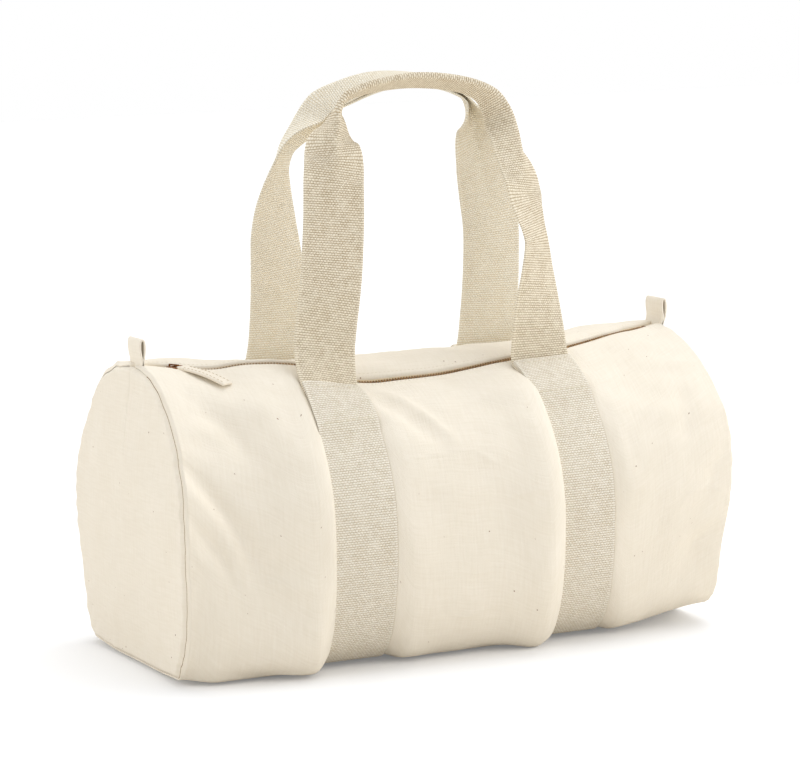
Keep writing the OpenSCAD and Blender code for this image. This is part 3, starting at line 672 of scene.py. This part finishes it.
for side, name, fullness, foot_swell in ((-1, "left", 1.6, 2.5), (1, "right", 1.0, 1.5)):
    end_x = side * bag_length / 2
    rim = round_line(end_x, -1.5)
    tucked = round_line(side * (bag_length / 2 - seam_allowance), -3.0)
    middle = np.array([end_x, 0.0, bag_middle])
    rings = []
    for share in [0.0, *np.linspace(0.08, 0.9, 26), 0.93, 0.955, 0.972, 0.98, 0.987, 0.993, 1.0]:
        ring = middle + (rim - middle) * share
        ring[:, 0] = rim[:, 0] * share ** 2 + end_x * (1 - share ** 2)
        past = share - edge_share
        dome = end_dome * fullness * (1 - share ** 2.6) * 0.96
        dome += edge_swell * hump(max(past, 0), 0.010) * hump(min(past, 0), 0.07)
        dome += 0.7 * ripple(ring, 80, 20 + side) * (1 - share ** 6)
        dome += 0.25 * ripple(ring, 30, 31 + side) * (1 - share ** 8)
        angle = np.unwrap(np.arctan2(ring[:, 2] - middle[2], ring[:, 1]))
        gather = np.sin(angle * end_gathers + 2 * np.sin(angle * 7)) * 0.55
        dome += gather * np.exp(-(1 - share) * 118 / 11.0) * (1 - soft(0.97, 1.0, share))
        low = np.clip(1 - (ring[:, 2] - base_z) / 70, 0, 1)
        dome += foot_swell * low * math.sin(math.pi * share) ** 2
        ring[:, 0] += side * dome
        rings.append(ring)
    grid = np.array(rings + [rim * 0.35 + tucked * 0.65, tucked])
    ways = np.zeros(grid.shape)
    ways[..., 0] = side
    ways[-2:] = lined_up(tucked - middle)
    cloth = lay_cloth(f"end_cloth_{name}", grid, grid[..., 1:3], canvas_cotton, canvas, ways)
    weld(cloth)
    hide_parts(f"end_panel_{name}")
    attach(cloth, "bag")
    # The painted shadow line: a thin brown tube laid along the seam's groove
    seam = round_line(side * (bag_length / 2 - shadow_line_inset), -shadow_line_depth)[:-1]
    ahead = lined_up(np.roll(seam, -1, axis=0) - np.roll(seam, 1, axis=0))
    over = lined_up(np.cross(ahead, (1, 0, 0)))
    rise = np.cross(over, ahead)
    tube = seam[:, None] + shadow_line_thickness / 2 * (over[:, None] * np.cos(shadow_line_turns)
                                                  + rise[:, None] * np.sin(shadow_line_turns))
    shadow_line = new_piece(f"end_seam_shadow_line_{name}", tube, ring_faces(*tube.shape[:2], joined=True), seam_shadow_line.material)
    turn_out(shadow_line)
    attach(shadow_line, "bag")

# Seam bindings
# Thin cotton tape folded over the raw edges of each end seam, inside the bag, so that they don't fray.
binding_cotton = cotton("binding_cotton", linear(232, 220, 196), 0.7, 1.2, 0.1, 0.3)
binding_thickness = 0.4
# Section of the folded tape: how far inward from the raw edge, how deep under the face, and place across it
binding_section = np.array([(-0.2, 2.9, 0), (-0.8, 3.0, 0.7), (-1.1, 3.6, 1.4), (-1.1, 4.6, 2.4),
                            (-0.7, 5.3, 3.2), (0.2, 5.5, 4.2), (5.8, 5.4, 9.8), (6.0, 4.9, 10.4)])
for side, name in ((-1, "left"), (1, "right")):
    grid = np.array([round_line(side * (bag_length / 2 - seam_allowance + inward), -depth)
                     for inward, depth, _ in binding_section])
    flat_at = flat_grid(run_along(grid[0]), binding_section[:, 2:])
    ways = np.zeros(grid.shape)
    ways[..., 1:] = grid[..., 1:] - (0, bag_middle)
    tape = lay_cloth(f"seam_tape_{name}", grid, flat_at, binding_cotton, binding_thickness, lined_up(ways))
    weld(tape)
    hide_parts(f"seam_binding_{name}")
    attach(tape, "bag")

# Zip
# Two cotton tapes sewn under the canvas edges, each with a row of antique brass teeth clamped to its edge.
# The two rows lock tooth between tooth, up to the slider near the left end.
tape_thickness, tape_depth = 0.6, 1.9
tape_end = bag_length / 2 - seam_allowance - 1.0


def zip_cloth(x, over, depth):
    """Point on the sagged zip, so far over from the middle of the chain to the rear and so far under
    the canvas face, with the outward direction there."""
    return wall(x, zip_place(x, over), -depth)


def brass(name, colour, worn):
    """Antique brass: brown in the hollows, rubbed bright in patches, a little rough."""
    metal = Finish(name, Metallic=1.0)
    patches = metal.noise(metal.solid_place(), 900, 3)
    rough = metal.add("MapRange", Value=patches, To_Min=0.5, To_Max=0.3)
    metal.feed(metal.shader, Base_Color=metal.ramp(patches, (0.36, colour), (0.72, worn)),
               Roughness=rough.outputs["Result"])
    metal.relief(patches, 0.3, 0.0001)
    return metal.material


tape_cotton = cotton("tape_cotton", linear(222, 205, 174), 0.6, 0.8, 0.05, 0.3)
tooth_brass = brass("tooth_brass", linear(112, 84, 58), linear(196, 160, 112))
slider_brass = brass("slider_brass", linear(104, 62, 34), linear(176, 124, 78))
tape_along = np.linspace(-tape_end, tape_end, 190)
# Section of a tape with the cord in its edge: distance from the chain's middle, height, place across it
tape_section = np.array([(2.0, 0.0, 2.0), (2.05, 0.25, 2.3), (2.9, 0.3, 3.1), (3.3, 0.0, 3.7),
                         (5.5, 0.0, 5.5), (8.0, 0.0, 8.0), (11.0, 0.0, 11.0), (14.0, 0.0, 14.0)])
for side, name in ((-1, "front"), (1, "rear")):
    rows = [zip_cloth(tape_along, side * over, tape_depth - tape_thickness / 2 - ridge)
            for over, ridge, _ in tape_section]
    grid, ways = np.stack(rows[::side], axis=1)
    flat_at = flat_grid(tape_along, tape_section[:, 2:])
    tape = lay_cloth(f"zip_tape_{name}_cotton", grid, flat_at, tape_cotton, tape_thickness, ways)
    face_out(tape, (0, -0.03, 0.2))
    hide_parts(f"zip_tape_{name}")
    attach(tape, "bag")

# One tooth seen from its top, along the zip and over towards its own tape, then the rings that it is
# built of from foot to crown: share of that outline, and height
tooth_pitch, tooth_root, first_tooth_at = 2.3, 1.1, -199.4
tooth_outline = [(-0.62, 2.9), (-0.62, 1.0), (-0.5, 0.1), (-0.26, -0.62),
                 (0.26, -0.62), (0.5, 0.1), (0.62, 1.0), (0.62, 2.9)]
tooth_rings = [(0.82, -1.15), (1.0, -0.85), (1.0, 0.85), (0.86, 1.12), (0.55, 1.25)]
zip_marks = np.linspace(-212, 212, 849)
zip_run = run_along(zip_cloth(zip_marks, 0, tape_depth)[0])
first_tooth = np.interp(first_tooth_at, zip_marks, zip_run)
last_tooth = np.interp(tape_end - 2 * tooth_pitch, zip_marks, zip_run)
tooth_count = int((last_tooth - first_tooth) / tooth_pitch)
for side, name, shift in ((-1, "front", 0.5), (1, "rear", 0.0)):
    at = first_tooth + (np.arange(tooth_count) + shift) * tooth_pitch
    xs = np.interp(at, zip_run, zip_marks)
    spot, up = zip_cloth(xs, 0.0, tape_depth)
    ahead = lined_up(zip_cloth(xs + 0.5, 0.0, tape_depth)[0] - zip_cloth(xs - 0.5, 0.0, tape_depth)[0])
    over = lined_up(np.cross(up, ahead))
    up = np.cross(ahead, over)
    points, faces = [], []
    for i in range(tooth_count):
        size = len(tooth_rings), len(tooth_outline), len(points)
        faces += ring_faces(*size) + ring_caps(*size)
        points += [spot[i] + ahead[i] * a * grow + over[i] * side * (tooth_root + (b - tooth_root) * grow)
                   + up[i] * height for grow, height in tooth_rings for a, b in tooth_outline]
    row = new_piece(f"zip_row_{name}", points, faces, tooth_brass, smooth=False)
    turn_out(row)
    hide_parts(f"zip_teeth_{name}")
    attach(row, "bag")
for name in ("zip_top_stops", "zip_bottom_stop", "zip_slider", "zip_pull_ring"):
    for slot in bpy.data.objects[name].material_slots:
        slot.material = slider_brass

# Pull tab
# A strip of the canvas folded in three round the ring's bar and sewn flat with a line of stitches near
# each edge.
tab_pivot = np.array([-193.889, -17.556, 229.276])
tab_way = np.array([0.4988, -0.8647, -0.0592])
tab_length, tab_half_thickness, tab_stitch_out = 46, 1.2, 3.6
tab_drop = math.radians(8)
pull_cotton = cotton("pull_cotton", linear(244, 236, 222), 0.8, 1.1, 0.16, 0.35)
pull_thread = Finish("pull_thread", Base_Color=linear(206, 188, 156), Roughness=0.8)
level_across = lined_up(np.cross(tab_way, (0, 0, 1)))
tab_up = np.cross(level_across, tab_way)
down_way = tab_way * math.cos(tab_drop) - tab_up * math.sin(tab_drop)
tab_face = np.cross(level_across, down_way)


def tab_point(gone, over, level):
    """Point of the tab, so far from the ring's bar, over from its middle and up from its middle face."""
    bend = 1.6 * math.sin(math.pi * min(1, gone / tab_length)) - 0.9 * (gone / tab_length) ** 2
    return tab_pivot + down_way * gone + level_across * over + tab_face * (level + bend)


# Section of the folded tab, with its edge lapped on the underside
tab_section = [(-5.5, 0.0), (-5.42, 0.62), (-5.0, 1.06), (-4.2, 1.2), (-2.6, 1.12), (0.0, 1.02),
               (2.6, 1.12), (4.2, 1.2), (5.0, 1.06), (5.42, 0.62), (5.5, 0.0), (5.42, -0.62),
               (5.0, -1.06), (4.2, -1.2), (2.6, -1.12), (1.7, -1.1), (1.3, -0.62), (0.9, -1.1),
               (-2.6, -1.12), (-4.2, -1.2), (-5.0, -1.06), (-5.42, -0.62)]
tab_rows = []
for gone in (-1.0, -0.9, -0.5, 0.2, 1.4, 2.6, 4.0, 6.0, 9.0, 13.0, 18.0, 24.0, 30.0, 36.0, 41.0, 44.2, 45.3,
             45.85, 46.0):
    near = 1 - soft(1.5, 5.0, gone)
    past_end = max(gone - 45, -gone) if gone > 45 or gone < -0.4 else 0
    full = (1 + 0.42 * near) * (0.35 + 0.65 * math.sqrt(max(0.0, 1 - past_end ** 2)))
    narrow = 1 - 0.004 * max(0, gone - 45) ** 2
    tab_rows.append([tab_point(gone, over * narrow, level * full) for over, level in tab_section])
grid = np.array(tab_rows)
size = grid.shape[:2]
gone_mm = np.linalg.norm(grid[:, 0] - grid[0, 0], axis=1)
flat_at = flat_grid(run_along(np.array(tab_section)), gone_mm[:, None])
pull_tab = new_piece("pull_tab_cotton", grid, ring_faces(*size) + ring_caps(*size), pull_cotton, flat_at)
turn_out(pull_tab)
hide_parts("zip_pull_tab")
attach(pull_tab, "pull_tab")
for side, name in ((-1, "near"), (1, "far")):
    line = [tab_point(gone, side * tab_stitch_out, tab_half_thickness) for gone in np.linspace(4.5, 44, 30)]
    row = stitch_row(f"pull_stitches_{name}", line, [tab_face] * len(line), pull_thread)
    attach(row, "pull_tab")

# Loop tabs
# A short strip of the canvas at each end, folded into a loop with its raw ends caught in the end seam.
loop_foot, loop_cloth, loop_points = 223.2, 1.36, 64
# Half of the loop seen from its side: how far out from its middle, and height over its foot
half_profile = np.array([(0.0, -4.5), (0.75, -4.0), (0.9, 0.5), (1.3, 4.0), (2.0, 8.0),
                         (2.5, 12.0), (2.5, 16.0), (2.1, 18.8), (1.2, 20.2), (0.0, 20.8)])
profile = np.concatenate([half_profile, half_profile[::-1][1:] * (-1, 1)])
fine_t = np.linspace(0, len(profile) - 1, loop_points)
loop_line = np.stack([np.interp(fine_t, np.arange(len(profile)), profile[:, c]) for c in (0, 1)], -1)
for _ in range(3):
    loop_line[1:-1] = (loop_line[:-2] + 2 * loop_line[1:-1] + loop_line[2:]) / 4
out_mm, up_mm = loop_line.T[..., None]
rise, lean_out = lined_up(np.gradient(loop_line, axis=0)).T[::-1, :, None]
loop_across = np.concatenate([[-14.0, -13.9, -13.5, -12.5], np.linspace(-10, 10, 9),
                              [12.5, 13.5, 13.9, 14.0]])
for side, name, lean in ((-1, "left", 0), (1, "right", 2.2)):
    foot_x = side * loop_foot
    foot_z = wall(foot_x, 0)[0][2]
    drop = wall(foot_x, place_at(foot_x, loop_across))[0][:, 2] - foot_z
    swing = 0.35 * np.sin(loop_across / 5) * np.clip(up_mm / 20, 0, 1) + lean * soft(-2, 7, up_mm)
    height = foot_z + up_mm + drop * (1 - np.clip(up_mm / 12, 0, 1))
    grid = np.stack(np.broadcast_arrays(foot_x + side * (out_mm + swing), loop_across, height), -1)
    ways = np.broadcast_to(np.stack([side * rise, 0 * rise, -lean_out], -1), grid.shape)
    flat_at = flat_grid(loop_across, run_along(loop_line)[:, None])
    loop = lay_cloth(f"loop_{name}_canvas", grid, flat_at, canvas_cotton, loop_cloth, ways)
    turn_out(loop)
    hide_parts(f"loop_tab_{name}")
    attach(loop, f"{name}_loop")

# Wrap straps
# Two lengths of heavy 50 mm cotton webbing round the body, each end turned under and sewn down over the
# end of a handle. The weave shows as staggered knots with a close selvedge along both edges, and the dips
# between them carry painted shade.
webbing, half_web, selvedge_round = 1.8, 25, 0.9
fold_distance, fold_length = 56, 42
web_marks = np.concatenate([[0.0, 0.12, 0.4, 0.9, 1.8], np.linspace(4, 46, 15),
                            [48.2, 49.1, 49.6, 49.88, 50.0]]) - half_web


def weave_band(name, middle, ways, run, material, marks):
    """Webbing as a closed band: its middle face as rows of points across it, the outward direction at
    each point and the distance along it at each row. Both edges are rounded."""
    n, m = middle.shape[:2]
    inside = np.clip((np.abs(marks) - (half_web - selvedge_round)) / selvedge_round, 0, 1)
    deep = (webbing / 2 * np.sqrt(1 - inside ** 2))[None, :, None]
    loop = np.concatenate([middle + ways * deep, (middle - ways * deep)[:, -2:0:-1]], axis=1)
    k = loop.shape[1]
    across_web = np.concatenate([marks, marks[-2:0:-1]]) + half_web
    flat_at = flat_grid(across_web, run[:, None])
    faces = ring_faces(n, k)
    for base, turned in ((0, -1), ((n - 1) * k, 1)):
        for j in range(m - 1):
            # a corner at the selvedge comes twice and is kept once
            corners = dict.fromkeys((j, j + 1, (k - j - 1) % k, (k - j) % k))
            faces.append([base + corner for corner in corners][::turned])
    return new_piece(name, loop, faces, material, flat_at)


knot_pitch, knot_rise = 2.5, 1.85


def webbing_cotton(name, knot_colour, gap_shade_colour):
    """Heavy cotton webbing: rows of staggered knots, a close rib along both edges, uneven threads, and
    painted shade in the dips between knots and ribs.
    """
    cloth = Finish(name, Roughness=0.95, Specular_IOR_Level=0.12, Sheen_Weight=0.06)
    work, flat = cloth.work, cloth.flat_place()

    def uneven(scale, detail=2.0):
        return work("SUBTRACT", cloth.noise(flat, scale, detail), 0.5)

    split = cloth.add("SeparateXYZ", Vector=flat)
    wander = work("MULTIPLY", uneven(0.35), 0.9)
    u = work("ADD", split.outputs["X"], wander)
    v = work("ADD", split.outputs["Y"], work("MULTIPLY", wander, 0.8))
    row = work("FLOOR", work("DIVIDE", v, knot_rise))
    rib = work("ABSOLUTE", work("SINE", work("MULTIPLY", v, math.pi / knot_rise)))
    across_row = work("ADD", work("DIVIDE", u, knot_pitch), work("MULTIPLY", row, 0.5))
    bead = work("ABSOLUTE", work("SINE", work("MULTIPLY", across_row, math.pi)))
    cell = cloth.add("CombineXYZ", X=work("FLOOR", across_row), Y=row)
    chance = cloth.add("TexWhiteNoise", Vector=cell.outputs["Vector"])
    lot = work("SUBTRACT", chance.outputs["Value"], 0.5)
    off_middle = work("ABSOLUTE", work("SUBTRACT", split.outputs["X"], half_web))
    selvedge = work("MULTIPLY", work("SUBTRACT", work("SUBTRACT", half_web, off_middle), 1.6), 1.4)
    selvedge = work("SUBTRACT", 1.0, selvedge, True)
    knots = work("MULTIPLY", rib, work("ADD", work("MULTIPLY", bead, 0.85), 0.45))
    knots = work("ADD", work("SUBTRACT", knots, 0.62), work("MULTIPLY", lot, 0.34))
    edge_rib = work("SUBTRACT", work("MULTIPLY", rib, 1.1), 0.55)
    level = cloth.mix(selvedge, knots, edge_rib, "FLOAT")
    patchy, grain = uneven(0.08, 3.0), uneven(1.6)
    # Painted shade: where the weave dips between knots and ribs the colour goes towards the gap colour, along
    # with the bump
    tone = work("ADD", work("MULTIPLY", level, 0.95), 0.60)
    tone = work("ADD", tone, work("MULTIPLY", patchy, 0.5))
    tone = work("ADD", tone, work("MULTIPLY", grain, 0.6), True)
    cloth.feed(cloth.shader, Base_Color=cloth.mix(tone, gap_shade_colour, knot_colour))
    cloth.relief(work("ADD", level, work("MULTIPLY", grain, 0.7)), 0.75, 0.0006)
    return cloth.material


strap_webbing = webbing_cotton("strap_webbing", linear(252, 246, 233), linear(214, 200, 175))
# Heights over the canvas: middle of the single webbing, then middle of the fold's upper layer in the
# solids and as it lies here
layer_gap = 0.2
single_mid = layer_gap + webbing / 2
double_mid = webbing + 2 * layer_gap + webbing * 1.5
fold_mid = double_mid + 0.1
turn_radius = webbing / 2 + 0.05


def half_strap(middle, side, fold, skew):
    """Rows from the middle of the base to the raw end under one fold, each as points and outward
    directions."""
    xs = middle + web_marks
    first = place_at(xs, fold + skew * (xs - middle) / half_web)
    per = round_mm(xs)
    rows = [wall(xs, side * place, single_mid) for place in spread((3, 2, 12), (2, 1, 46))[:-1]]
    for t in np.linspace(0, 1, 60):
        place = 1 + (first - 1) * t
        gone = (place - first) * per
        up = 1 - soft(fold_length - 2, fold_length * 1.28, gone)
        settle = 0.25 * hump(gone - 3.0, 1.6) + 0.3 * hump(gone - fold_length, 2.0)
        rows.append(wall(xs, side * place, single_mid * (1 - up) + fold_mid * up - settle))
    for angle in np.radians([30, 60, 90, 120, 150, 180]):
        place = first - turn_radius * np.sin(angle) / per
        point, way = wall(xs, side * place, fold_mid - turn_radius * (1 - np.cos(angle)))
        onward = wall(xs, side * (place - 0.01), double_mid)[0] - wall(xs, side * place, double_mid)[0]
        rows.append((point, way * math.cos(angle) + lined_up(onward) * math.sin(angle)))
    for gone in (2, 6, 12, 20, 30, fold_length - 3):
        point, way = wall(xs, side * (first + gone / per), fold_mid - 2 * turn_radius)
        rows.append((point, -way))
    return rows


for middle, name, front_fold, front_skew in ((-strap_out, "left", 65, -1.5), (strap_out, "right", 55, -1.0)):
    ends = ((-1, "front", front_fold, front_skew), (1, "rear", fold_distance, 0))
    front_half, rear_half = (half_strap(middle, side, fold, skew) for side, _, fold, skew in ends)
    grid, ways = np.stack(front_half[::-1] + rear_half[1:], axis=1)
    run = run_along(grid[:, len(web_marks) // 2])
    strap = weave_band(f"strap_{name}", grid, ways, run, strap_webbing, web_marks)
    face_out(strap, (middle * mm, 0, 0.1))
    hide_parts(f"wrap_strap_{name}")
    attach(strap, "bag")
    over = np.linspace(-21.5, 21.5, 40)
    for side, end_name, fold, skew in ends:
        for gone, row_name in ((4.5, "upper"), (39.0, "lower")):
            places = place_at(middle + over, fold + skew * over / half_web) + gone / round_mm(middle + over)
            line, line_ways = wall(middle + over, side * places, double_mid + webbing / 2 + 0.15)
            row = stitch_row(f"strap_stitches_{name}_{end_name}_{row_name}", line, line_ways, seam_thread,
                             3.2, 1.4, 0.42)
            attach(row, "bag")

# Handles
# Two more lengths of the webbing, in lit and shaded copies of its finish: the front handle's is darker,
# painted shade, and the rear handle's lighter, painted light. The legs are flat; from the neck up each is
# folded in half lengthwise and sewn into a narrow grip. The ends are caught under the straps' folds.
# Painted shade and light: the front handle's webbing is a darker copy and the rear handle's a lighter copy of
# the same cotton
front_webbing_painted_shade = webbing_cotton("front_webbing_painted_shade", linear(251, 242, 222), linear(188, 168, 136))
rear_webbing_painted_light = webbing_cotton("rear_webbing_painted_light", linear(255, 250, 236), linear(236, 223, 196))
handle_height, grip_depth = 222, 54
hinge_y, hinge_rise = 54, 9
hinge_z = float(plain_wall(strap_out, place_at(strap_out, hinge_y))[0][2]) + hinge_rise
handle_lean = math.atan((hinge_y - grip_depth / 2) / handle_height)

# The line of each handle's middle in its own leaning plane, from the left fold to the right one: place
# along the bag, height, how far it is folded lengthwise, and its turn about its own line in degrees
handle_lines = {
    "front": [(-92, 0, 0, 0), (-89, 25, 0, 1), (-80, 71, 0, 2), (-74.5, 112, 0, 1), (-71, 142, .07, 1),
              (-68, 160.5, .20, 4), (-68, 175, .44, 12), (-65.1, 187.3, .77, 15), (-63.5, 199, .95, 20),
              (-56, 209.5, 1, 16), (-45, 214.3, 1, 11), (-27, 219, 1, 12), (-1, 222.3, 1, 14),
              (22, 221.6, 1, 14), (46, 217.5, 1, 12), (63.3, 211.7, 1, 14), (73.5, 205.3, 1, 24),
              (81.8, 193.5, .94, 36), (86.5, 178.5, .58, 44), (89, 159, .32, 36), (90.6, 141, .14, 32),
              (90, 123, 0, 35), (94.5, 100, 0, 43), (96.5, 86, 0, 43), (95.5, 64, 0, 35),
              (92.5, 25, 0, 14), (92, 0, 0, 4)],
    "rear": [(-89, 0, 0, 4), (-87.5, 48, 0, 6), (-89.5, 76, 0, 14), (-92, 100.5, 0, 22),
             (-93.8, 119.5, .05, 31), (-93.2, 138.8, .08, 43), (-91, 154.2, .11, 52),
             (-86.6, 171, .21, 54), (-78.5, 185.2, .42, 53),
             (-70.5, 198, .92, 42), (-60, 209.5, 1, 40), (-38, 217.8, 1, 34), (-19, 222.3, 1, 26),
             (-3, 223.3, 1, 18), (20, 221.5, 1, 12), (40, 218, 1, 10), (58, 212, 1, 12), (68, 205, 1, 13),
             (73.8, 194.5, .88, 13), (79, 181.8, .56, 11), (81, 165.5, .34, 3), (86.5, 147.8, .15, 0),
             (92.6, 120.5, .05, 0), (97.2, 96.6, 0, 0), (98.5, 66, 0, 1), (98, 30, 0, 4), (95.5, 0, 0, 4)],
}
# Each tail under a fold: mm below the fold and height over the canvas. The bend starts where it ends and
# takes up the first rows of the leg.
tail_marks = ((36, 1.1), (24, 1.1), (12, 1.1), (6, 1.2), (2, 1.5), (-1, 2.0))
bend_rows = 12
fold_marks = np.concatenate([web_marks[:6], np.linspace(-18, -4, 6), np.linspace(-3, 3, 9),
                             np.linspace(4, 18, 6), web_marks[-6:]])
crease_arc = math.pi * webbing


def between(start, end, lead, trail, t):
    """Point of a soft curve that leaves start along lead and comes to end along trail, t from 0 to 1."""
    return (start * (2 * t ** 3 - 3 * t ** 2 + 1) + lead * (t ** 3 - 2 * t ** 2 + t)
            + end * (3 * t ** 2 - 2 * t ** 3) + trail * (t ** 3 - t ** 2))


def smooth_line(marks, count):
    """A soft line through the marks, as so many even steps."""
    marks = np.array(marks, float)
    run = run_along(marks[:, :2])
    at = np.linspace(0, run[-1], count)
    row = np.clip(np.searchsorted(run, at, side="right") - 1, 0, len(run) - 2)
    before, after = np.clip(row - 1, 0, None), np.clip(row + 2, None, len(run) - 1)
    span = (run[row + 1] - run[row])[:, None]
    lead = (marks[row + 1] - marks[before]) / (run[row + 1] - run[before])[:, None] * span
    trail = (marks[after] - marks[row]) / (run[after] - run[row])[:, None] * span
    return between(marks[row], marks[row + 1], lead, trail, (at - run[row])[:, None] / span)


def folded(share):
    """Middle line of the webbing's section: across and back at each mark, flat at 0 and doubled at 1."""
    turn = math.pi * max(share, 1e-4)
    inside = np.minimum(np.abs(fold_marks), crease_arc / 2)
    rest = np.abs(fold_marks) - inside
    a, r = turn * inside / crease_arc, crease_arc / turn
    return np.sign(fold_marks) * (r * np.sin(a) + rest * np.cos(a)), r * (1 - np.cos(a)) + rest * np.sin(a)


for face, name, folds, material in ((-1, "front", (65, 55), front_webbing_painted_shade),
                                    (1, "rear", (fold_distance, fold_distance), rear_webbing_painted_light)):
    line = smooth_line(handle_lines[name], 300)
    line[:, 2] = np.clip(line[:, 2], 0, 1)
    rows = []
    for (x, height, share, roll), (ahead, rise) in zip(line, lined_up(np.gradient(line[:, :2], axis=0))):
        off, deep = folded(float(share))
        c, s = math.cos(math.radians(roll)), math.sin(math.radians(roll))
        off, deep = off * c + deep * s, deep * c - off * s
        rows.append(np.stack([x + rise * off, deep, height - ahead * off], -1))
    c, s = math.cos(-handle_lean), math.sin(-handle_lean)
    grid = np.array(rows) @ np.array([[1, 0, 0], [0, c, -s], [0, s, c]]).T + (0, -hinge_y, hinge_z)
    grid = grid * (1, -face, 1)
    ends = []
    for sign, fold_at, foot, leg in ((-1, folds[0], line[0], grid), (1, folds[1], line[-1], grid[::-1])):
        leg = leg[bend_rows:]
        xs = sign * ((abs(foot[0]) + strap_out) / 2 - fold_marks)
        tail = np.array([wall(xs, face * (place_at(xs, fold_at) + below / round_mm(xs)), level)[0]
                         for below, level in tail_marks])
        gap = np.linalg.norm(leg[0] - tail[-1], axis=1).mean()
        lead = lined_up(tail[-1] - tail[-2]) * gap * 0.7
        trail = lined_up(leg[1] - leg[0]) * gap * 1.1
        bend = [between(tail[-1], leg[0], lead, trail, t) for t in np.linspace(0, 1, 11)[1:-1]]
        ends.append(np.concatenate([tail, bend]))
    grid = np.concatenate([ends[0], grid[bend_rows:-bend_rows], ends[1][::-1]])
    ways = lined_up(np.cross(np.gradient(grid, axis=1), np.gradient(grid, axis=0))) * -face
    run = run_along(grid.mean(axis=1))
    handle = weave_band(f"handle_{name}_webbing", grid, ways, run, material, fold_marks)
    face_out(handle, (0, -face * 0.2, 0.3))
    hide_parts(f"handle_{name}", f"handle_{name}_tails")
    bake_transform(handle)
